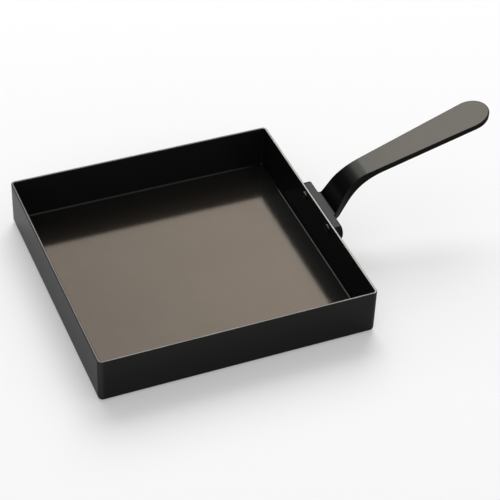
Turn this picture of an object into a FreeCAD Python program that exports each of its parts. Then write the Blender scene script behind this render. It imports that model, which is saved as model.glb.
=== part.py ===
"""Square rolled-omelette pan: a folded steel tray with a forged T-foot handle held by two rivets.

Millimetres, +Z up, +X from the tray towards the handle.  The origin is the centre of the tray's
underside, where the pan stands on a hob.
"""
import FreeCAD, Part
import math
import os
import Sketcher

# Driving dimensions: alias, value in millimetres or degrees, what it measures.
SIZES = (
    ("pan_length", 180.0, "tray outside, along the handle"),
    ("pan_width", 180.0, "tray outside, across the handle"),
    ("pan_height", 32.0, "underside to rim"),
    ("sheet_thickness", 1.6, "steel sheet of floor and walls"),
    ("bend_radius", 1.4, "inside radius of the floor bends and the dressed corners"),
    ("rim_round", 0.5, "rounded edges along the rim"),
    ("foot_length", 54.6, "T foot, along the wall"),
    ("foot_height", 10.0, "T foot, downwards from the rim"),
    ("foot_thickness", 5.0, "T foot, outwards from the wall"),
    ("foot_corner_radius", 4.4, "rounded ends of the T foot"),
    ("foot_edge_radius", 0.4, "eased outer edges of the T foot"),
    ("handle_reach", 111.0, "foot's outer face to the handle's tip"),
    ("root_depth", 1.2, "neck let into the foot"),
    ("root_run", 0.2, "level run before the neck turns up"),
    ("root_thickness", 4.5, "neck where it leaves the foot"),
    ("root_bend_radius", 1.6, "turn above the foot, upper side"),
    ("root_under_radius", 6.0, "turn above the foot, underside"),
    ("neck_angle", 61.6, "rise of the neck, upper side"),
    ("neck_under_angle", 54.3, "rise of the neck, underside"),
    ("neck_run", 9.6, "straight run of the neck, upper side"),
    ("neck_thickness", 6.0, "neck at the end of that run"),
    ("knee_radius", 31.3, "neck into grip, upper side"),
    ("knee_under_radius", 45.0, "neck into grip, underside"),
    ("grip_angle", 17.45, "rise of the grip"),
    ("grip_thickness", 4.0, "grip at the knee"),
    ("tip_thickness", 3.3, "grip at the tip"),
    ("waist_width", 17.3, "narrowest place of the handle"),
    ("waist_reach", 21.0, "foot's outer face to the waist"),
    ("waist_radius", 50.0, "hollow of the handle's sides at the waist"),
    ("flare_radius", 2.2, "hollow where the neck's sides spread into the foot"),
    ("flare_angle", 25.0, "neck's side to the foot's face at the end of the flare"),
    ("tip_radius", 12.7, "round end of the grip"),
    ("edge_radius", 1.0, "eased edges of the handle's upper side"),
    ("under_chamfer", 0.5, "broken edges of the handle's underside"),
    ("rivet_pitch", 35.6, "between the rivet axes"),
    ("rivet_diameter", 3.2, "rivet shank"),
    ("rivet_clearance", 0.1, "between shank and hole, on each side"),
    ("head_diameter", 5.6, "rivet head inside the tray"),
    ("head_side", 0.5, "straight side of the rivet head"),
    ("head_height", 1.1, "rivet head inside the tray, with its dome"),
    ("tail_diameter", 5.0, "closed end of the rivet where it sits on the foot"),
    ("tail_top_diameter", 3.4, "flat top of the closed end"),
    ("tail_height", 0.9, "closed end of the rivet, outwards from the foot"),
    ("overrun", 2.0, "cuts run past the metal by this much"),
)
# The foot's rounded ends take at most this part of its height.
CORNER_SHARE = 0.45
# Two directions or places closer than this count as the same.
SAME = 1e-4

# Places that several pieces share, as sums of the driving dimensions.
WALL_OUT = "sizes.pan_length / 2"
WALL_IN = "(sizes.pan_length / 2 - sizes.sheet_thickness)"
FOOT_OUT = "(sizes.pan_length / 2 + sizes.foot_thickness)"
ROOT = "(sizes.pan_length / 2 + sizes.foot_thickness - sizes.root_depth)"
LEVEL_RUN = "(sizes.root_depth + sizes.root_run)"
GRIP_END = "(sizes.pan_length / 2 + sizes.foot_thickness + sizes.handle_reach + sizes.overrun)"
RIVET_Z = "(sizes.pan_height - sizes.foot_height / 2)"
HOLE_RADIUS = "(sizes.rivet_diameter / 2 + sizes.rivet_clearance)"
PAST_TIP = "(2 * sizes.overrun)"
HELD = "(sizes.sheet_thickness + sizes.foot_thickness)"
RIVET_SIDES = (("left", "sizes.rivet_pitch / 2"), ("right", "-sizes.rivet_pitch / 2"))

doc = FreeCAD.newDocument("omelette_pan")


def make_sheet():
    """Spreadsheet of the driving dimensions, one alias per row."""
    sheet = doc.addObject("Spreadsheet::Sheet", "sizes")
    for row, (alias, value, note) in enumerate(SIZES, start=1):
        sheet.set(f"A{row}", str(value))
        sheet.setAlias(f"A{row}", alias)
        sheet.set(f"B{row}", note)
    doc.recompute()
    return sheet


def value_of(expression):
    """Present value of an expression of the sheet's cells."""
    return float(sizes.evalExpression(expression.replace("sizes.", "")))


def new_body(label):
    """Empty body under the name of its piece."""
    body = doc.addObject("PartDesign::Body", label)
    body.Label = label
    return body


def new_sketch(body, name, role, offset=None):
    """Sketch on one of the body's origin planes, moved along that plane's normal by an expression."""
    sketch = body.newObject("Sketcher::SketchObject", name)
    plane = next(item for item in body.Origin.OriginFeatures if item.Role == role)
    sketch.AttachmentSupport = [(plane, "")]
    sketch.MapMode = "FlatFace"
    if offset:
        sketch.setExpression("AttachmentOffset.Base.z", offset)
    return sketch


def drive(sketch, name, expression, kind, *where):
    """Driving dimension of a sketch, bound to the sheet."""
    value = value_of(expression)
    if kind == "Angle":
        value = math.radians(value)
        expression += " * 1 deg"
    index = sketch.addConstraint(Sketcher.Constraint(kind, *where, value))
    sketch.renameConstraint(index, name)
    sketch.setExpression(f"Constraints.{name}", expression)


def join(sketch, kind, *pairs):
    """The same kind of constraint for several pairs of sketch elements."""
    for pair in pairs:
        sketch.addConstraint(Sketcher.Constraint(kind, *pair))


def line(sketch, start, end):
    """Straight sketch edge between two (x, y) points."""
    return sketch.addGeometry(Part.LineSegment(FreeCAD.Vector(*start), FreeCAD.Vector(*end)))


def arc(sketch, centre, radius, first, last):
    """Sketch arc, anticlockwise between two angles in degrees."""
    circle = Part.Circle(FreeCAD.Vector(*centre), FreeCAD.Vector(0, 0, 1), radius)
    return sketch.addGeometry(Part.ArcOfCircle(circle, math.radians(first), math.radians(last)))


def rectangle(sketch, left, right, low, high):
    """Closed rectangle whose four sides are driven by expressions."""
    x0, x1, y0, y1 = (value_of(side) for side in (left, right, low, high))
    corners = ((x0, y0), (x1, y0), (x1, y1), (x0, y1))
    sides = [line(sketch, corners[k], corners[(k + 1) % 4]) for k in range(4)]
    join(sketch, "Coincident", *((sides[k], 2, sides[(k + 1) % 4], 1) for k in range(4)))
    join(sketch, "Horizontal", (sides[0],), (sides[2],))
    join(sketch, "Vertical", (sides[1],), (sides[3],))
    drive(sketch, "left", left, "DistanceX", -1, 1, sides[0], 1)
    drive(sketch, "right", right, "DistanceX", -1, 1, sides[1], 1)
    drive(sketch, "low", low, "DistanceY", -1, 1, sides[0], 1)
    drive(sketch, "high", high, "DistanceY", -1, 1, sides[2], 1)


def feature(body, kind, name, **values):
    """PartDesign feature whose Length, Radius, Size or Value is bound to the sheet by an expression."""
    item = body.newObject(f"PartDesign::{kind}", name)
    for key, value in values.items():
        if key in ("Length", "Radius", "Size", "Value"):
            item.setExpression(key, value)
        else:
            setattr(item, key, value)
    doc.recompute()
    return item


def picked_edges(body, wanted):
    """Those edges of the body's tip that a test picks, given an edge and its two faces."""
    tip = body.Tip
    names = []
    for number, edge in enumerate(tip.Shape.Edges, start=1):
        faces = tip.Shape.ancestorsOfType(edge, Part.Face)
        if wanted(edge, faces):
            names.append(f"Edge{number}")
    return tip, names


def round_edges(body, name, radius, wanted):
    """Fillet of the edges that a test picks."""
    return feature(body, "Fillet", name, Base=picked_edges(body, wanted), Radius=radius)


def normal(face):
    """Outward direction at the middle of a face."""
    u0, u1, v0, v1 = face.ParameterRange
    return face.normalAt((u0 + u1) / 2, (v0 + v1) / 2)


def lies_at(edge, axis, place):
    """True where the whole edge lies in the plane x, y or z = place."""
    box = edge.BoundBox
    low = getattr(box, axis + "Min")
    high = getattr(box, axis + "Max")
    return abs(low - place) < SAME and abs(high - place) < SAME


def runs_along(edge, axis):
    """True for a straight edge along the X, Y or Z axis."""
    others = [name for name in "XYZ" if name != axis]
    return all(getattr(edge.BoundBox, name + "Length") < SAME for name in others)


def rivet_holes(body, name, start, depth):
    """Pair of holes along X, from a plane across X outwards to a depth."""
    sketch = new_sketch(body, name + "_circles", "YZ_Plane", start)
    height = value_of(RIVET_Z)
    for side, half_pitch in RIVET_SIDES:
        centre = FreeCAD.Vector(value_of(half_pitch), height, 0)
        up = FreeCAD.Vector(0, 0, 1)
        circle = sketch.addGeometry(Part.Circle(centre, up, value_of(HOLE_RADIUS)))
        drive(sketch, side + "_across", half_pitch, "DistanceX", -1, 1, circle, 3)
        drive(sketch, side + "_up", RIVET_Z, "DistanceY", -1, 1, circle, 3)
        drive(sketch, side + "_radius", HOLE_RADIUS, "Radius", circle)
    before = body.Tip.Shape.Volume
    pocket = feature(body, "Pocket", name, Profile=sketch, Length=depth, Reversed=True)
    if not pocket.Shape.Volume < before:
        raise RuntimeError(f"{body.Label}: the rivet holes cut nothing")


def make_pan():
    """Tray folded from one sheet, with welded and dressed corners and two rivet holes."""
    body = new_body("pan_body")
    plan = new_sketch(body, "pan_plan", "XY_Plane")
    rectangle(plan, "-sizes.pan_length / 2", WALL_OUT, "-sizes.pan_width / 2", "sizes.pan_width / 2")
    feature(body, "Pad", "pan_block", Profile=plan, Length="sizes.pan_height")

    def is_bend(edge, faces):
        return runs_along(edge, "Z") or lies_at(edge, "Z", 0)

    block = round_edges(body, "pan_bends", "sizes.bend_radius + sizes.sheet_thickness", is_bend)
    height = value_of("sizes.pan_height")
    top = [f"Face{number}" for number, face in enumerate(block.Shape.Faces, start=1)
           if abs(face.BoundBox.ZMin - height) < SAME]
    feature(body, "Thickness", "pan_shell", Base=(block, top), Reversed=True,
            Value="sizes.sheet_thickness")

    def is_rim(edge, faces):
        return lies_at(edge, "Z", height)

    round_edges(body, "pan_rim", "sizes.rim_round", is_rim)
    rivet_holes(body, "pan_rivet_holes", WALL_IN + " - sizes.overrun",
                "sizes.sheet_thickness + 2 * sizes.overrun")
    return body


def along(point, angle, distance):
    """Point at a distance from another, in a direction given in degrees."""
    turn = math.radians(angle)
    return (point[0] + distance * math.cos(turn), point[1] + distance * math.sin(turn))


def meeting(first, first_angle, second, second_angle):
    """Where two straight lines cross, each given by a point and a direction in degrees."""
    gap = (second[0] - first[0], second[1] - first[1])
    turn = math.radians(second_angle)
    across = gap[0] * math.sin(turn) - gap[1] * math.cos(turn)
    return along(first, first_angle, across / math.sin(math.radians(second_angle - first_angle)))


def make_side_profile(body):
    """Side view of neck and grip, thickest in the neck and drawn out towards the tip."""
    sketch = new_sketch(body, "side_profile", "XZ_Plane")
    neck = value_of("sizes.neck_angle")
    grip = value_of("sizes.grip_angle")
    turn = value_of("sizes.root_bend_radius")
    knee = value_of("sizes.knee_radius")
    root = (value_of(ROOT), value_of("sizes.pan_height"))
    turn_start = along(root, 0, value_of(LEVEL_RUN))
    turn_centre = along(turn_start, 90, turn)
    neck_start = along(turn_centre, neck - 90, turn)
    neck_end = along(neck_start, neck, value_of("sizes.neck_run"))
    knee_centre = along(neck_end, neck - 90, knee)
    grip_start = along(knee_centre, grip + 90, knee)
    grip_run = (value_of(GRIP_END) - grip_start[0]) / math.cos(math.radians(grip))
    grip_end = along(grip_start, grip, grip_run)

    under = value_of("sizes.neck_under_angle")
    under_turn = value_of("sizes.root_under_radius")
    under_knee = value_of("sizes.knee_under_radius")
    thinning = value_of("sizes.grip_thickness - sizes.tip_thickness")
    under_grip = grip + math.degrees(math.asin(thinning / grip_run))
    under_root = along(root, -90, value_of("sizes.root_thickness"))
    neck_below = along(neck_end, under - 90, value_of("sizes.neck_thickness"))
    grip_below = along(grip_start, under_grip - 90, value_of("sizes.grip_thickness"))
    root_corner = meeting(under_root, 0, neck_below, under)
    knee_corner = meeting(neck_below, under, grip_below, under_grip)
    root_cut = under_turn * math.tan(math.radians(under / 2))
    knee_cut = under_knee * math.tan(math.radians((under - under_grip) / 2))
    under_turn_start = along(root_corner, 180, root_cut)
    under_neck_start = along(root_corner, under, root_cut)
    under_neck_end = along(knee_corner, under + 180, knee_cut)
    under_grip_start = along(knee_corner, under_grip, knee_cut)
    under_grip_end = meeting(grip_end, 90, grip_below, under_grip)

    level = line(sketch, root, turn_start)
    turn_arc = arc(sketch, turn_centre, turn, -90, neck - 90)
    rise = line(sketch, neck_start, neck_end)
    knee_arc = arc(sketch, knee_centre, knee, grip + 90, neck + 90)
    grip_line = line(sketch, grip_start, grip_end)
    end_line = line(sketch, grip_end, under_grip_end)
    low_grip = line(sketch, under_grip_end, under_grip_start)
    low_knee_centre = along(under_neck_end, under - 90, under_knee)
    low_knee = arc(sketch, low_knee_centre, under_knee, under_grip + 90, under + 90)
    low_rise = line(sketch, under_neck_end, under_neck_start)
    low_turn = arc(sketch, along(under_turn_start, 90, under_turn), under_turn, -90, under - 90)
    low_level = line(sketch, under_turn_start, under_root)
    root_line = line(sketch, under_root, root)

    join(sketch, "Tangent", (level, 2, turn_arc, 1), (turn_arc, 2, rise, 1),
         (rise, 2, knee_arc, 2), (knee_arc, 1, grip_line, 1),
         (low_grip, 2, low_knee, 1), (low_knee, 2, low_rise, 1),
         (low_rise, 2, low_turn, 2), (low_turn, 1, low_level, 1))
    join(sketch, "Coincident", (grip_line, 2, end_line, 1), (end_line, 2, low_grip, 1),
         (low_level, 2, root_line, 1), (root_line, 2, level, 1))
    join(sketch, "Horizontal", (level,), (low_level,))
    join(sketch, "Vertical", (end_line,), (root_line,))
    drive(sketch, "root_x", ROOT, "DistanceX", -1, 1, level, 1)
    drive(sketch, "root_z", "sizes.pan_height", "DistanceY", -1, 1, level, 1)
    drive(sketch, "root_thickness", "sizes.root_thickness", "DistanceY", root_line, 1, root_line, 2)
    drive(sketch, "level_run", LEVEL_RUN, "DistanceX", level, 1, level, 2)
    drive(sketch, "turn_radius", "sizes.root_bend_radius", "Radius", turn_arc)
    drive(sketch, "rise_slope", "sizes.neck_angle", "Angle", rise)
    drive(sketch, "rise_run", "sizes.neck_run", "Distance", rise)
    drive(sketch, "knee_radius", "sizes.knee_radius", "Radius", knee_arc)
    drive(sketch, "grip_slope", "sizes.grip_angle", "Angle", grip_line)
    drive(sketch, "grip_x", GRIP_END, "DistanceX", -1, 1, grip_line, 2)
    drive(sketch, "low_turn_radius", "sizes.root_under_radius", "Radius", low_turn)
    drive(sketch, "low_rise_slope", "(sizes.neck_under_angle + 180)", "Angle", low_rise)
    drive(sketch, "neck_thickness", "sizes.neck_thickness", "Distance", rise, 2, low_rise)
    drive(sketch, "low_knee_radius", "sizes.knee_under_radius", "Radius", low_knee)
    drive(sketch, "grip_thickness", "sizes.grip_thickness", "Distance", grip_line, 1, low_grip)
    drive(sketch, "tip_thickness", "sizes.tip_thickness", "Distance", grip_line, 2, low_grip)
    return sketch


def make_side_trim(body):
    """Plan of what is cut off one side of the bar, from the flare at the foot round to the tip."""
    sketch = new_sketch(body, "side_trim_plan", "XY_Plane")
    foot = value_of(FOOT_OUT)
    flare = value_of("sizes.flare_radius")
    slant = math.radians(value_of("sizes.flare_angle"))
    hollow = value_of("sizes.waist_radius")
    tip = value_of("sizes.tip_radius")
    tip_x = foot + value_of("sizes.handle_reach")
    hollow_centre = (foot + value_of("sizes.waist_reach"), value_of("sizes.waist_width / 2") + hollow)
    tip_centre = (tip_x - tip, 0)
    flare_x = foot + flare * math.cos(slant)
    drop = math.sqrt((hollow - flare) ** 2 - (hollow_centre[0] - flare_x) ** 2)
    flare_centre = (flare_x, hollow_centre[1] - drop)
    flare_turn = math.degrees(math.atan2(-drop, flare_x - hollow_centre[0]))
    reach = (tip_centre[0] - hollow_centre[0], hollow_centre[1])
    taper = math.degrees(math.atan2(*reach) - math.acos((hollow + tip) / math.hypot(*reach)))
    lean = math.radians(taper)
    side_start = (hollow_centre[0] + hollow * math.sin(lean), hollow_centre[1] - hollow * math.cos(lean))
    side_end = (tip_centre[0] - tip * math.sin(lean), tip * math.cos(lean))
    flare_end = (foot, flare_centre[1] - flare * math.sin(slant))
    past_root = value_of("sizes.root_depth + sizes.overrun")
    start = (foot - past_root, flare_end[1] + past_root / math.tan(slant))
    far = start[1] + value_of("sizes.foot_length / 2")
    past_tip = tip_x + value_of(PAST_TIP)

    splay = line(sketch, start, flare_end)
    flare_arc = arc(sketch, flare_centre, flare, math.degrees(slant) - 180, flare_turn)
    waist_arc = arc(sketch, hollow_centre, hollow, flare_turn, taper - 90)
    side = line(sketch, side_start, side_end)
    tip_arc = arc(sketch, tip_centre, tip, 0, taper + 90)
    near_edge = line(sketch, (tip_x, 0), (past_tip, 0))
    end_edge = line(sketch, (past_tip, 0), (past_tip, far))
    far_edge = line(sketch, (past_tip, far), (start[0], far))
    root_edge = line(sketch, (start[0], far), start)
    join(sketch, "Tangent", (splay, 2, flare_arc, 1), (flare_arc, 2, waist_arc, 1),
         (waist_arc, 2, side, 1), (side, 2, tip_arc, 2))
    join(sketch, "Coincident", (tip_arc, 1, near_edge, 1), (near_edge, 2, end_edge, 1),
         (end_edge, 2, far_edge, 1), (far_edge, 2, root_edge, 1), (root_edge, 2, splay, 1))
    join(sketch, "Horizontal", (near_edge,), (far_edge,))
    join(sketch, "Vertical", (end_edge,), (root_edge,))
    join(sketch, "PointOnObject", (tip_arc, 3, -1), (near_edge, 1, -1))
    drive(sketch, "flare_x", FOOT_OUT, "DistanceX", -1, 1, splay, 2)
    drive(sketch, "flare_lean", "(sizes.flare_angle - 90)", "Angle", splay)
    drive(sketch, "flare_radius", "sizes.flare_radius", "Radius", flare_arc)
    drive(sketch, "waist_radius", "sizes.waist_radius", "Radius", waist_arc)
    drive(sketch, "waist_x", FOOT_OUT + " + sizes.waist_reach", "DistanceX", -1, 1, waist_arc, 3)
    drive(sketch, "waist_y", "sizes.waist_width / 2 + sizes.waist_radius",
          "DistanceY", -1, 1, waist_arc, 3)
    drive(sketch, "tip_radius", "sizes.tip_radius", "Radius", tip_arc)
    drive(sketch, "tip_x", FOOT_OUT + " + sizes.handle_reach", "DistanceX", -1, 1, tip_arc, 1)
    drive(sketch, "past_tip", PAST_TIP, "DistanceX", near_edge, 1, near_edge, 2)
    drive(sketch, "past_root", "sizes.root_depth + sizes.overrun", "DistanceX", splay, 1, splay, 2)
    drive(sketch, "past_side", "sizes.foot_length / 2", "DistanceY", root_edge, 2, root_edge, 1)
    return sketch


def make_bar():
    """Neck and grip: the side profile, waisted and rounded in plan, with eased edges."""
    body = new_body("handle_bar")
    profile = make_side_profile(body)
    feature(body, "Pad", "bar_blank", Profile=profile, Length="sizes.foot_length", SideType="Symmetric")
    blank = body.Tip.Shape.Volume
    plan = make_side_trim(body)
    trim = feature(body, "Pocket", "side_trim", Profile=plan, Type="ThroughAll", Reversed=True)
    if not trim.Shape.Volume < blank:
        raise RuntimeError("handle_bar: the side trim cut nothing")
    middle = next(item for item in body.Origin.OriginFeatures if item.Role == "XZ_Plane")
    body.Tip = feature(body, "Mirrored", "both_sides", Originals=[trim], MirrorPlane=(middle, [""]))
    doc.recompute()

    def borders_side(faces, upwards):
        directions = [normal(face) for face in faces]
        sides = [turn for turn in directions if abs(turn.z) < SAME and turn.x > SAME - 1]
        others = [turn for turn in directions if turn.z * upwards > SAME]
        return len(sides) == 1 and len(others) == 1

    def is_upper_edge(edge, faces):
        return borders_side(faces, 1)

    def is_under_edge(edge, faces):
        return borders_side(faces, -1)

    round_edges(body, "upper_edges", "sizes.edge_radius", is_upper_edge)
    feature(body, "Chamfer", "under_edges", Base=picked_edges(body, is_under_edge),
            Size="sizes.under_chamfer")
    return body


def make_foot():
    """T foot: upright bar along the wall, flush with the rim, with rounded ends and two rivet holes."""
    body = new_body("handle_foot")
    face = new_sketch(body, "foot_face", "YZ_Plane", WALL_OUT)
    rectangle(face, "-sizes.foot_length / 2", "sizes.foot_length / 2",
              "sizes.pan_height - sizes.foot_height", "sizes.pan_height")
    feature(body, "Pad", "foot_block", Profile=face, Length="sizes.foot_thickness")

    def is_end_corner(edge, faces):
        return runs_along(edge, "X")

    limit = f"min(sizes.foot_corner_radius; {CORNER_SHARE} * sizes.foot_height)"
    round_edges(body, "foot_ends", limit, is_end_corner)
    outer = value_of(FOOT_OUT)

    def is_outer_edge(edge, faces):
        return lies_at(edge, "X", outer)

    round_edges(body, "foot_edges", "sizes.foot_edge_radius", is_outer_edge)
    rivet_holes(body, "foot_rivet_holes", WALL_OUT + " - sizes.overrun",
                "sizes.foot_thickness + 2 * sizes.overrun")
    return body


def make_handle():
    """Handle forged in one piece: bar and foot."""
    handle = doc.addObject("Part::Fuse", "handle")
    handle.Base = make_bar()
    handle.Tool = make_foot()
    handle.Refine = True
    handle.Label = "handle"
    return handle


def make_rivet(label, across):
    """Rivet along X: low domed head inside the tray, shank, flat closed end on the foot."""
    body = new_body(label)
    sketch = new_sketch(body, label + "_section", "XZ_Plane")
    held = value_of(HELD)
    shank = value_of("sizes.rivet_diameter / 2")
    head = value_of("sizes.head_diameter / 2")
    side = value_of("sizes.head_side")
    rise = value_of("sizes.head_height") - side
    tail = value_of("sizes.tail_diameter / 2")
    tail_flat = value_of("sizes.tail_top_diameter / 2")
    end = held + value_of("sizes.tail_height")
    dome = (head ** 2 + rise ** 2) / (2 * rise)
    dome_turn = math.degrees(math.asin(head / dome))

    head_arc = arc(sketch, (dome - rise - side, 0), dome, 180 - dome_turn, 180)
    head_side = line(sketch, (-side, head), (0, head))
    head_seat = line(sketch, (0, head), (0, shank))
    shank_side = line(sketch, (0, shank), (held, shank))
    tail_seat = line(sketch, (held, shank), (held, tail))
    tail_flank = line(sketch, (held, tail), (end, tail_flat))
    tail_top = line(sketch, (end, tail_flat), (end, 0))
    axis = line(sketch, (end, 0), (-side - rise, 0))
    join(sketch, "Coincident", (head_arc, 1, head_side, 1), (head_side, 2, head_seat, 1),
         (head_seat, 2, shank_side, 1), (shank_side, 2, tail_seat, 1), (tail_seat, 2, tail_flank, 1),
         (tail_flank, 2, tail_top, 1), (tail_top, 2, axis, 1), (axis, 2, head_arc, 2))
    join(sketch, "Vertical", (head_seat,), (tail_seat,), (tail_top,))
    join(sketch, "Horizontal", (head_side,), (shank_side,))
    join(sketch, "PointOnObject", (head_arc, 3, -1), (axis, 1, -1), (axis, 2, -1), (head_seat, 1, -2))
    drive(sketch, "head_radius", "sizes.head_diameter / 2", "DistanceY", -1, 1, head_seat, 1)
    drive(sketch, "head_side", "sizes.head_side", "DistanceX", head_side, 1, head_side, 2)
    drive(sketch, "head_rise", "sizes.head_height", "DistanceX", axis, 2, head_seat, 2)
    drive(sketch, "shank_radius", "sizes.rivet_diameter / 2", "DistanceY", -1, 1, shank_side, 1)
    drive(sketch, "held", HELD, "DistanceX", shank_side, 1, shank_side, 2)
    drive(sketch, "tail_radius", "sizes.tail_diameter / 2", "DistanceY", -1, 1, tail_seat, 2)
    drive(sketch, "tail_top_radius", "sizes.tail_top_diameter / 2", "DistanceY", -1, 1, tail_top, 1)
    drive(sketch, "tail_rise", "sizes.tail_height", "DistanceX", tail_seat, 2, axis, 1)
    feature(body, "Revolution", label + "_turned", Profile=sketch, ReferenceAxis=(sketch, ["H_Axis"]))
    body.setExpression("Placement.Base.x", WALL_IN)
    body.setExpression("Placement.Base.y", across)
    body.setExpression("Placement.Base.z", RIVET_Z)
    return body


def check_and_write(pieces):
    """Stop if anything failed; then write one file per piece."""
    doc.recompute()
    for item in doc.Objects:
        if "Invalid" in item.State or "Error" in item.State:
            raise RuntimeError(f"{item.Label}: {item.State}")
    for piece in pieces:
        if piece.Shape.isNull() or not piece.Shape.isValid():
            raise RuntimeError(f"{piece.Label}: shape is empty or not valid")
    os.makedirs("parts", exist_ok=True)
    for piece in pieces:
        piece.Shape.exportStep(f"parts/{piece.Label}.step")


sizes = make_sheet()
pieces = [make_pan(), make_handle()]
pieces += [make_rivet("rivet_" + side, half_pitch) for side, half_pitch in RIVET_SIDES]
check_and_write(pieces)
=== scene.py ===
"""Looks of the square rolled-omelette pan: black steel finishes, stage, light and camera.

Metres, +Z up, +X from the tray towards the handle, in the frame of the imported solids.
"""
import logging
import math
from dataclasses import dataclass
from enum import Enum
from typing import Any, Callable, Mapping, Optional, Union

import bmesh
import bpy
from mathutils import Matrix, Vector


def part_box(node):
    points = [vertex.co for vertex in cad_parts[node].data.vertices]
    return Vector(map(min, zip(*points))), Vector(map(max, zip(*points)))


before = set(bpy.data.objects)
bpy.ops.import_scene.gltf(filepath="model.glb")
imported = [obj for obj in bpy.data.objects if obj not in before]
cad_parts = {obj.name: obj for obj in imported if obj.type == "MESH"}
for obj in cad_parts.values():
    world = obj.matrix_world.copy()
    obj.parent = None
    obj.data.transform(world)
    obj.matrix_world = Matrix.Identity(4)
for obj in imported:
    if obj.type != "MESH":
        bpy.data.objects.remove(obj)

LOG = logging.getLogger("omelette_pan")
Triple = tuple[float, float, float]
Colour = Triple
Span = tuple[float, float]
Key = Union[int, str]
Value = Union["Wire", float, tuple]

MM = 0.001
WHITE: Colour = (1.0, 1.0, 1.0)
LAMP_POWER = 4.0  # watts of an area lamp per square metre and unit of radiance
RELIEF_SCALE = 1.0  # a relief's heights are metres already


class Rolling(Enum):
    """Direction in which the steel was drawn, as the stretch of its grain along X, Y and Z."""

    ALONG_LENGTH = (0.04, 1.0, 1.0)
    ALONG_WIDTH = (1.0, 0.04, 1.0)


class Wire:
    """An output socket; arithmetic with it adds Math nodes to its graph."""

    def __init__(self, graph: "Graph", socket: Optional[bpy.types.NodeSocket]) -> None:
        """Keeps the graph and the socket, which is None on a node without outputs."""
        self.graph = graph
        self.socket = socket

    def _math(self, operation: str, *values: Value) -> "Wire":
        """Math node on one or two values."""
        return self.graph.node("ShaderNodeMath", {"operation": operation}, dict(enumerate(values)))

    def __add__(self, other: Value) -> "Wire":
        """Sum."""
        return self._math("ADD", self, other)

    __radd__ = __add__

    def __sub__(self, other: Value) -> "Wire":
        """Difference."""
        return self._math("SUBTRACT", self, other)

    def __rsub__(self, other: Value) -> "Wire":
        """Difference with the number first."""
        return self._math("SUBTRACT", other, self)

    def __mul__(self, other: Value) -> "Wire":
        """Product."""
        return self._math("MULTIPLY", self, other)

    __rmul__ = __mul__

    def __abs__(self) -> "Wire":
        """Size without its sign."""
        return self._math("ABSOLUTE", self)

    def larger(self, other: Value) -> "Wire":
        """The larger of two values."""
        return self._math("MAXIMUM", self, other)

    def rise(self, low: float, high: float) -> "Wire":
        """Smooth step.

        Args:
            low: value where the step starts, at 0.
            high: value where the step ends, at 1.

        Returns:
            A value from 0 to 1.
        """
        settings = {"interpolation_type": "SMOOTHSTEP"}
        inputs = {"Value": self, "From Min": low, "From Max": high}
        return self.graph.node("ShaderNodeMapRange", settings, inputs)

    def beside(self, name: str) -> "Wire":
        """Another output of the same node."""
        return Wire(self.graph, self.socket.node.outputs[name])


class Graph:
    """Node tree of one material or world."""

    def __init__(self, tree: bpy.types.NodeTree) -> None:
        """Empties the tree that it fills."""
        self.tree = tree
        tree.nodes.clear()

    def node(self, kind: str, settings: Mapping[str, Any], inputs: Mapping[Key, Value],
             output: Key = 0) -> Wire:
        """Adds any node.

        Args:
            kind: Blender's name of the node's type.
            settings: properties to set before the sockets.
            inputs: values or wires by socket.
            output: the output to return.

        Returns:
            That output.
        """
        made = self.tree.nodes.new(kind)
        for key, value in settings.items():
            setattr(made, key, value)
        for key, value in inputs.items():
            socket = find(made.inputs, key)
            if isinstance(value, Wire):
                self.tree.links.new(value.socket, socket)
            else:
                socket.default_value = value
        return Wire(self, find(made.outputs, output) if made.outputs else None)

    def mix(self, share: Value, first: Value, second: Value) -> Wire:
        """Colour between two colours.

        Args:
            share: 0 for the first colour, 1 for the second.
            first: wire or colour.
            second: wire or colour.

        Returns:
            The mixed colour.
        """
        inputs = {"Factor_Float": share, "A_Color": opaque(first), "B_Color": opaque(second)}
        return self.node("ShaderNodeMix", {"data_type": "RGBA"}, inputs, "Result_Color")

    def scale(self, colour: Wire, factor: Wire) -> Wire:
        """Colour made lighter or darker by a factor."""
        inputs = {"Vector": colour, "Scale": factor}
        return self.node("ShaderNodeVectorMath", {"operation": "SCALE"}, inputs)

    def place(self) -> Wire:
        """Object coordinates."""
        return self.node("ShaderNodeTexCoord", {}, {}, "Object")

    def facing(self) -> tuple[Wire, Wire, Wire]:
        """How far the surface faces along X, Y and Z, each from -1 to 1."""
        return self.axes(self.node("ShaderNodeTexCoord", {}, {}, "Normal"))

    def axes(self, vector: Wire) -> tuple[Wire, Wire, Wire]:
        """X, Y and Z of a vector."""
        along_x = self.node("ShaderNodeSeparateXYZ", {}, {"Vector": vector})
        return along_x, along_x.beside("Y"), along_x.beside("Z")

    def noise(self, vector: Wire, speck: float, layers: float, stretch: Triple = (1.0, 1.0, 1.0)) -> Wire:
        """Smooth noise around 0.

        Args:
            vector: place on the piece.
            speck: size of one speck, in metres.
            layers: number of finer layers.
            stretch: factor on the place along X, Y and Z, small where the specks are long.

        Returns:
            A value from about -1 to 1.
        """
        stretched = self.node("ShaderNodeMapping", {}, {"Vector": vector, "Scale": stretch})
        inputs = {"Vector": stretched, "Scale": 1.0 / speck, "Detail": layers}
        return self.node("ShaderNodeTexNoise", {}, inputs) * 2.0 - 1.0


def find(sockets: bpy.types.bpy_prop_collection, key: Key) -> bpy.types.NodeSocket:
    """Finds one of a node's sockets.

    Args:
        sockets: the node's inputs or outputs.
        key: the socket's identifier, name or number.

    Returns:
        The socket.
    """
    by_identifier = {socket.identifier: socket for socket in sockets}
    return by_identifier[key] if key in by_identifier else sockets[key]


def opaque(colour: Value) -> Value:
    """A plain colour with its alpha of 1; a wire as it is."""
    return colour if isinstance(colour, Wire) else (*colour, 1.0)


def grey(level: float) -> Colour:
    """A grey of one level."""
    return (level, level, level)


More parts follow.
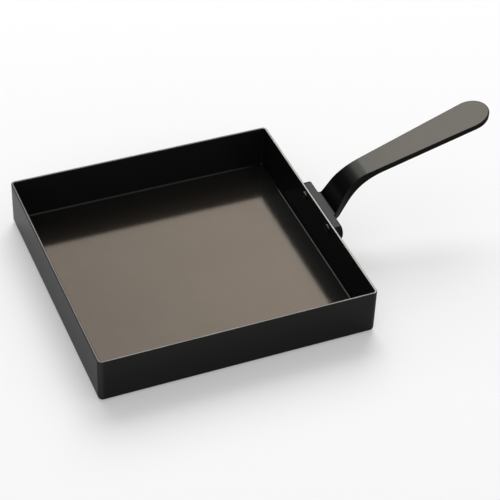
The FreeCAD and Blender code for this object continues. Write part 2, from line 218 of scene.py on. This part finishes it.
@dataclass(frozen=True)
class BlackSteel:
    """Oxide-blackened steel: a dark metallic skin with a satin sheen, which may carry a thin oil film.

    Wide clouds and small mottles vary its colour, a grain along the rolling and a peel its relief.
    Shares are parts of the colour, and the roughness of clouds and grain is added to the even one.
    """

    name: str
    rolling: Rolling
    metallic: float = 0.75
    roughness: float = 0.115
    specular: float = 0.12
    edge_sheen: float = 0.42
    film: float = 0.0
    film_roughness: float = 0.45
    cloud_size: float = 45 * MM
    cloud_layers: float = 2.0
    cloud_share: float = 0.06
    cloud_roughness: float = 0.01
    mottle_size: float = 7 * MM
    mottle_layers: float = 3.0
    mottle_share: float = 0.05
    grain_size: float = 0.3 * MM
    grain_layers: float = 2.0
    grain_depth: float = 0.006 * MM
    grain_roughness: float = 0.01
    peel_size: float = 0.5 * MM
    peel_layers: float = 1.0
    peel_depth: float = 0.001 * MM
    edge_round: float = 0.0
    edge_samples: int = 8

    def mottle(self, graph: Graph, place: Wire) -> Wire:
        """Small blotches, from about -1 to 1."""
        return graph.noise(place, self.mottle_size, self.mottle_layers)

    def make(self, paint: Callable[[Graph, Wire], Wire]) -> bpy.types.Material:
        """Makes the material: uneven colour, gloss and relief, and rounded edges where edge_round is set.

        Args:
            paint: gives the skin's colour, from the graph and the place on the piece.

        Returns:
            The material.
        """
        material = bpy.data.materials.new(self.name)
        material.use_nodes = True
        graph = Graph(material.node_tree)
        place = graph.place()
        cloud = graph.noise(place, self.cloud_size, self.cloud_layers)
        grain = graph.noise(place, self.grain_size, self.grain_layers, self.rolling.value)
        peel = graph.noise(place, self.peel_size, self.peel_layers)
        uneven = 1.0 + cloud * self.cloud_share + self.mottle(graph, place) * self.mottle_share
        height = grain * self.grain_depth + peel * self.peel_depth
        relief = {"Height": height, "Distance": RELIEF_SCALE}
        if self.edge_round:
            settings = {"samples": self.edge_samples}
            relief["Normal"] = graph.node("ShaderNodeBevel", settings, {"Radius": self.edge_round})
        surface = graph.node("ShaderNodeBsdfPrincipled", {}, {
            "Base Color": graph.scale(paint(graph, place), uneven),
            "Metallic": self.metallic,
            "Roughness": self.roughness + grain * self.grain_roughness + cloud * self.cloud_roughness,
            "Normal": graph.node("ShaderNodeBump", {}, relief),
            "Specular IOR Level": self.specular,
            "Specular Tint": opaque(grey(self.edge_sheen)),
            "Coat Weight": self.film,
            "Coat Roughness": self.film_roughness,
        })
        graph.node("ShaderNodeOutputMaterial", {}, {"Surface": surface})
        return material


def put_on(node: str, material: bpy.types.Material) -> None:
    """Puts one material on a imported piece.

    Args:
        node: name of the piece.
        material: its finish.
    """
    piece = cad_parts[node]
    piece.data.materials.clear()
    piece.data.materials.append(material)


@dataclass
class Tray:
    """The folded tray: rubbed rim, browned floor with greyer margins, dark walls; painted shade in the
    inner folds and on the floor away from the handle, painted highlight on the outer corners and, by
    side, in the rim's wear.

    Wear goes from 0, none, to 1, rubbed bare; by side it also carries painted light. A fade is the length
    over which a skin turns into another.
    """

    node: str = "pan_body"
    sheet: float = 1.6 * MM
    bend: float = 1.4 * MM
    bend_fade: float = 0.42 * MM
    face_fade: float = 0.8 * MM
    underside_height: float = 0.4 * MM
    outside: Colour = (0.017, 0.0166, 0.0162)
    # Painted highlight on the rounded outer corners.
    outer_corner_highlight: Colour = (0.0295, 0.0292, 0.0289)
    outer_corner_highlight_reach: float = 3.9 * MM
    inside: Colour = (0.034, 0.034, 0.0362)
    # Painted shade in the inner folds and corners, darker than the inner walls.
    fold_shade: Colour = (0.029, 0.029, 0.03)
    browned: Colour = (0.0515, 0.0427, 0.0346)
    floor_edge: Colour = (0.0523, 0.0517, 0.0462)
    floor_edge_width: float = 6 * MM
    floor_edge_fade: float = 16 * MM
    floor_fade: float = 0.07 * MM
    # Painted shade: the floor darkens away from the handle over this span.
    floor_shade: float = 0.22
    floor_shade_span: Span = (-99 * MM, 63 * MM)
    # Rim colour: rubbed bare, and by side it also carries painted light.
    rubbed_and_highlight: Colour = (0.142, 0.135, 0.126)
    rim_depth: float = 0.1 * MM
    rim_wear: float = 0.45
    # Painted highlight by the handle, painted shade on the side opposite.
    rim_wear_and_highlight_by_handle: float = 0.95
    rim_wear_and_shade_opposite: float = 0.26
    wear_breakup: float = 0.35
    finish: BlackSteel = BlackSteel("tray_black_steel", Rolling.ALONG_WIDTH, film=0.03)

    def rim_wear_and_light(self, graph: Graph, place: Wire, inner_face: float, top: float) -> Wire:
        """How far the rim is rubbed, with painted light: brighter by the handle as painted highlight,
        dimmer on the side opposite as painted shade.

        Args:
            graph: graph of the material.
            place: place on the tray.
            inner_face: distance from the middle to the walls' inner faces.
            top: height of the rim.

        Returns:
            The wear, with its painted light.
        """
        x, _, z = graph.axes(place)
        rim = z.rise(top - self.rim_depth, top)
        by_handle = x.rise(inner_face - self.sheet, inner_face)
        opposite = 1.0 - x.rise(-inner_face, self.sheet - inner_face)
        breakup = 1.0 + self.finish.mottle(graph, place) * self.wear_breakup
        # Painted highlight by the handle, painted shade on the side opposite.
        most = by_handle * (self.rim_wear_and_highlight_by_handle - self.rim_wear)
        least = opposite * (self.rim_wear_and_shade_opposite - self.rim_wear)
        return rim * breakup * (self.rim_wear + most + least)

    def floor_skin(self, graph: Graph, place: Wire, inner_face: float) -> Wire:
        """Colour of the floor: browned, greyer along three walls, and darker away from the handle as
        painted shade.

        Args:
            graph: graph of the material.
            place: place on the tray.
            inner_face: distance from the middle to the walls' inner faces.

        Returns:
            The colour.
        """
        x, y, _ = graph.axes(place)
        edge_start = inner_face - self.floor_edge_width - self.floor_edge_fade
        edge = x.larger(abs(y)).rise(edge_start, edge_start + self.floor_edge_fade)
        # Painted shade: the floor is darker away from the handle.
        floor_shade_factor = 1.0 - self.floor_shade * (1.0 - x.rise(*self.floor_shade_span))
        return graph.scale(graph.mix(edge, self.browned, self.floor_edge), floor_shade_factor)

    def paint(self, graph: Graph, place: Wire) -> Wire:
        """Colour of the tray's skin.

        Args:
            graph: graph of the material.
            place: place on the tray.

        Returns:
            The colour.
        """
        _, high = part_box(self.node)
        x, y, z = graph.axes(place)
        inner_face = high.y - self.sheet
        reach = abs(x).larger(abs(y))
        within = 1.0 - reach.rise(inner_face, inner_face + self.face_fade)
        within *= z.rise(self.underside_height, self.sheet)
        floor = within * (1.0 - z.rise(self.sheet, self.sheet + self.floor_fade))
        lesser_reach = abs(x) + abs(y) - reach
        fold_start = inner_face - self.bend
        fold_top = self.sheet + self.bend
        # Painted shade: the inner folds and corners take the darker fold colour.
        corner = lesser_reach.rise(fold_start, fold_start + self.bend_fade)
        fold_shade_mask = corner.larger(1.0 - z.rise(fold_top - self.bend_fade, fold_top))
        wall = graph.mix(fold_shade_mask, self.inside, self.fold_shade)
        # Painted highlight on the rounded outer corners.
        corner_highlight_mask = lesser_reach.rise(high.y - self.outer_corner_highlight_reach, inner_face)
        outer = graph.mix(corner_highlight_mask, self.outside, self.outer_corner_highlight)
        skin = graph.mix(floor, graph.mix(within, outer, wall), self.floor_skin(graph, place, inner_face))
        return graph.mix(self.rim_wear_and_light(graph, place, inner_face, high.z), skin, self.rubbed_and_highlight)

    def dress(self) -> tuple[str, ...]:
        """Puts the finish on the tray and returns its name."""
        put_on(self.node, self.finish.make(self.paint))
        return (self.node,)


@dataclass
class Handle:
    """The forged handle: satin grip and knee, grey foot, neck and sides darker as painted shade, lighter
    flares at its root as painted highlight.

    Reaches are from the foot's back, or from its face for the flare, along X. A slope is how far the
    surface faces up, or to the side, where one skin starts to turn into the next and where it ends.
    """

    node: str = "handle"
    foot_thickness: float = 5 * MM
    foot_margin: float = 1 * MM
    foot_fade: float = 2 * MM
    flare_reach: float = 14 * MM
    flare_spread: float = 18 * MM
    flare_fade: float = 5 * MM
    knee_reach: float = 21 * MM
    grip_reach: float = 42 * MM
    grip: Colour = (0.0398, 0.0372, 0.0326)
    foot: Colour = grey(0.0178)
    # Painted shade on the sides.
    side_shade: Colour = (0.008, 0.0075, 0.007)
    # Painted highlight where the sides flare at the root.
    flare_highlight: Colour = (0.035, 0.0345, 0.034)
    knee: Colour = (0.0362, 0.0364, 0.0344)
    # Painted shade on the neck, which faces less up.
    neck_shade: Colour = grey(0.0126)
    neck_shade_slope: Span = (0.7, 0.87)
    side_shade_slope: Span = (0.7, 0.95)
    finish: BlackSteel = BlackSteel("handle_black_steel", Rolling.ALONG_LENGTH, metallic=0.9,
                                    roughness=0.2, edge_sheen=0.5)

    def paint(self, graph: Graph, place: Wire) -> Wire:
        """Colour of the handle's skin.

        Args:
            graph: graph of the material.
            place: place on the handle.

        Returns:
            The colour.
        """
        low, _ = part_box(self.node)
        x, y, _ = graph.axes(place)
        _, across, up = graph.facing()
        foot_face = low.x + self.foot_thickness
        foot_end = foot_face + self.foot_margin
        by_foot = 1.0 - x.rise(foot_end, foot_end + self.foot_fade)
        # Painted highlight where the sides flare at the root.
        by_flare_highlight = 1.0 - x.rise(foot_face, foot_face + self.flare_reach)
        by_flare_highlight *= 1.0 - abs(y).rise(self.flare_spread, self.flare_spread + self.flare_fade)
        past_knee = x.rise(low.x + self.knee_reach, low.x + self.grip_reach)
        level = graph.mix(by_foot, graph.mix(past_knee, self.knee, self.grip), self.foot)
        # Painted shade on the neck, where the surface faces less up.
        upper = graph.mix(up.rise(*self.neck_shade_slope), self.neck_shade, level)
        # Painted shade on the sides, with a painted highlight where they flare at the root.
        beside = graph.mix(by_flare_highlight, self.side_shade, self.flare_highlight)
        return graph.mix(abs(across).rise(*self.side_shade_slope), upper, beside)

    def dress(self) -> tuple[str, ...]:
        """Puts the finish on the handle and returns its name."""
        put_on(self.node, self.finish.make(self.paint))
        return (self.node,)


@dataclass
class Rivets:
    """The two rivets: a painted highlight on the upper part of the heads' edges, tails rubbed a little.

    Depths and fades are along the shank; the painted highlight goes up from the rivets' middle.
    """

    nodes: tuple[str, str] = ("rivet_left", "rivet_right")
    head_height: float = 1.1 * MM
    crown_fade: float = 0.6 * MM
    seat_fade: float = 0.3 * MM
    highlight_start: float = 1.1 * MM
    highlight_end: float = 2.2 * MM
    tail_depth: float = 0.3 * MM
    tail_wear: float = 0.3
    skin: Colour = (0.035, 0.0345, 0.034)
    # Painted highlight on the heads, wear on the tails.
    rubbed_and_highlight: Colour = (0.45, 0.445, 0.44)
    finish: BlackSteel = BlackSteel("rivet_black_steel", Rolling.ALONG_WIDTH, roughness=0.1,
                                    edge_round=0.35 * MM)

    def paint(self, graph: Graph, place: Wire) -> Wire:
        """Colour of the rivets' skin.

        Args:
            graph: graph of the material.
            place: place on the rivets.

        Returns:
            The colour.
        """
        low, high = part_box(self.nodes[0])
        x, _, z = graph.axes(place)
        seat = low.x + self.head_height
        middle = (low.z + high.z) / 2
        # Painted highlight on the upper part of the heads' edges.
        head_highlight = x.rise(low.x, low.x + self.crown_fade) * (1.0 - x.rise(seat - self.seat_fade, seat))
        head_highlight *= z.rise(middle + self.highlight_start, middle + self.highlight_end)
        tail = x.rise(high.x - self.tail_depth, high.x)
        return graph.mix(head_highlight + tail * self.tail_wear, self.skin, self.rubbed_and_highlight)

    def dress(self) -> tuple[str, ...]:
        """Puts the finish on both rivets.

        Returns:
            Their names.
        """
        material = self.finish.make(self.paint)
        for node in self.nodes:
            put_on(node, material)
        return self.nodes


@dataclass(frozen=True)
class Softbox:
    """Rectangular lamp that faces the pan; angles in degrees, the azimuth from +X towards +Y."""

    name: str
    azimuth: float
    elevation: float
    distance: float
    width: float
    height: float
    radiance: float

    def build(self) -> None:
        """Makes the lamp, which the camera doesn't see."""
        turn, lift = math.radians(self.azimuth), math.radians(self.elevation)
        away = Vector((math.cos(turn) * math.cos(lift), math.sin(turn) * math.cos(lift), math.sin(lift)))
        lamp = bpy.data.lights.new(self.name, "AREA")
        lamp.shape = "RECTANGLE"
        lamp.size = self.width
        lamp.size_y = self.height
        lamp.energy = self.radiance * LAMP_POWER * self.width * self.height
        item = bpy.data.objects.new(self.name, lamp)
        item.location = away * self.distance
        item.rotation_euler = (-away).to_track_quat("-Z", "Y").to_euler()
        item.visible_camera = False
        bpy.context.scene.collection.objects.link(item)


@dataclass
class Stage:
    """Pale floor, the room around it and the lamps.

    The floor is lifted towards white up to clear_reach from the middle, and no more from fade_reach on.
    The room's spans are the part of a direction along Y, or Z, over which a level turns into another.
    """

    half_size: float = 3.0
    pale: float = 0.95
    lift: float = 0.25
    clear_reach: float = 0.45
    fade_reach: float = 1.2
    rear_wall: float = 0.12
    front_wall: float = 0.9
    ceiling: float = 0.53
    wall_span: Span = (-0.8, 0.2)
    ceiling_span: Span = (0.0, 0.9)
    lamps: tuple[Softbox, ...] = (
        Softbox("rear_softbox", azimuth=68.0, elevation=45.0, distance=5.0,
                width=3.25, height=3.6, radiance=3.7),
        Softbox("side_panel", azimuth=104.5, elevation=45.0, distance=5.0,
                width=1.28, height=3.05, radiance=1.5),
    )

    def floor_finish(self) -> bpy.types.Material:
        """Makes the floor's pale finish, a little lifted to white for the camera and for what mirrors it.

        Returns:
            The material.
        """
        material = bpy.data.materials.new("pale_floor")
        material.use_nodes = True
        graph = Graph(material.node_tree)
        reach = graph.node("ShaderNodeVectorMath", {"operation": "LENGTH"}, {0: graph.place()}, "Value")
        near = 1.0 - reach.rise(self.clear_reach, self.fade_reach)
        by_camera = graph.node("ShaderNodeLightPath", {}, {}, "Is Camera Ray")
        mirrored = by_camera.beside("Is Glossy Ray").larger(by_camera.beside("Is Transmission Ray"))
        seen = by_camera.larger(mirrored)
        plain = graph.node("ShaderNodeBsdfDiffuse", {}, {"Color": opaque(grey(self.pale))})
        white = graph.node("ShaderNodeEmission", {}, {"Color": opaque(WHITE), "Strength": 1.0})
        both = graph.node("ShaderNodeMixShader", {}, {0: seen * near * self.lift, 1: plain, 2: white})
        graph.node("ShaderNodeOutputMaterial", {}, {"Surface": both})
        return material

    def build_floor(self) -> None:
        """Makes the floor."""
        mesh = bpy.data.meshes.new("floor")
        shape = bmesh.new()
        bmesh.ops.create_grid(shape, x_segments=1, y_segments=1, size=self.half_size)
        shape.to_mesh(mesh)
        shape.free()
        floor = bpy.data.objects.new("floor", mesh)
        bpy.context.scene.collection.objects.link(floor)
        mesh.materials.append(self.floor_finish())

    def build_room(self) -> None:
        """Makes the room: dim behind the pan, pale in front of it, in between overhead."""
        world = bpy.data.worlds.new("room")
        world.use_nodes = True
        graph = Graph(world.node_tree)
        _, back, up = graph.axes(graph.node("ShaderNodeTexCoord", {}, {}, "Generated"))
        walls = graph.mix(back.rise(*self.wall_span), grey(self.front_wall), grey(self.rear_wall))
        shell = graph.mix(up.rise(*self.ceiling_span), walls, grey(self.ceiling))
        light = graph.node("ShaderNodeBackground", {}, {"Color": shell})
        graph.node("ShaderNodeOutputWorld", {}, {"Surface": light})
        bpy.context.scene.world = world

    def build(self) -> tuple[str, ...]:
        """Makes floor, room and lamps.

        Returns:
            Their names.
        """
        self.build_floor()
        self.build_room()
        for lamp in self.lamps:
            lamp.build()
        return ("floor", "room", *(lamp.name for lamp in self.lamps))


@dataclass
class PhotoCamera:
    """Camera at the photograph's place; angles in degrees, the azimuth from -Y towards +X."""

    azimuth: float = -24.02
    elevation: float = 40.56
    roll: float = -2.67
    distance: float = 1.14508
    aim: Triple = (46.29 * MM, 7.99 * MM, 0.0)
    focal_length: float = 126.2
    film_width: float = 36.0

    def build(self) -> None:
        """Makes the camera and gives it to the scene."""
        turn, lift, lean = (math.radians(angle) for angle in (self.azimuth, self.elevation, self.roll))
        back = Vector((math.sin(turn) * math.cos(lift), -math.cos(turn) * math.cos(lift), math.sin(lift)))
        level = back.cross(Vector((0.0, 0.0, -1.0))).normalized()
        upright = back.cross(level)
        right = level * math.cos(lean) - upright * math.sin(lean)
        up = level * math.sin(lean) + upright * math.cos(lean)
        lens = bpy.data.cameras.new("photo_camera")
        lens.lens = self.focal_length
        lens.sensor_width = self.film_width
        item = bpy.data.objects.new("photo_camera", lens)
        place = Vector(self.aim) + back * self.distance
        item.matrix_world = Matrix.Translation(place) @ Matrix((right, up, back)).transposed().to_4x4()
        bpy.context.scene.collection.objects.link(item)
        bpy.context.scene.camera = item


def main() -> None:
    """Dresses the pan and sets its stage."""
    logging.basicConfig(level=logging.INFO)
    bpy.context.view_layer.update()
    bpy.context.scene.view_settings.view_transform = "Standard"
    PhotoCamera().build()
    for part in (Tray(), Handle(), Rivets()):
        for name in part.dress():
            LOG.info("%s dressed in %s", name, part.finish.name)
    for name in Stage().build():
        LOG.info("%s set up", name)


if __name__ == "__main__":
    main()
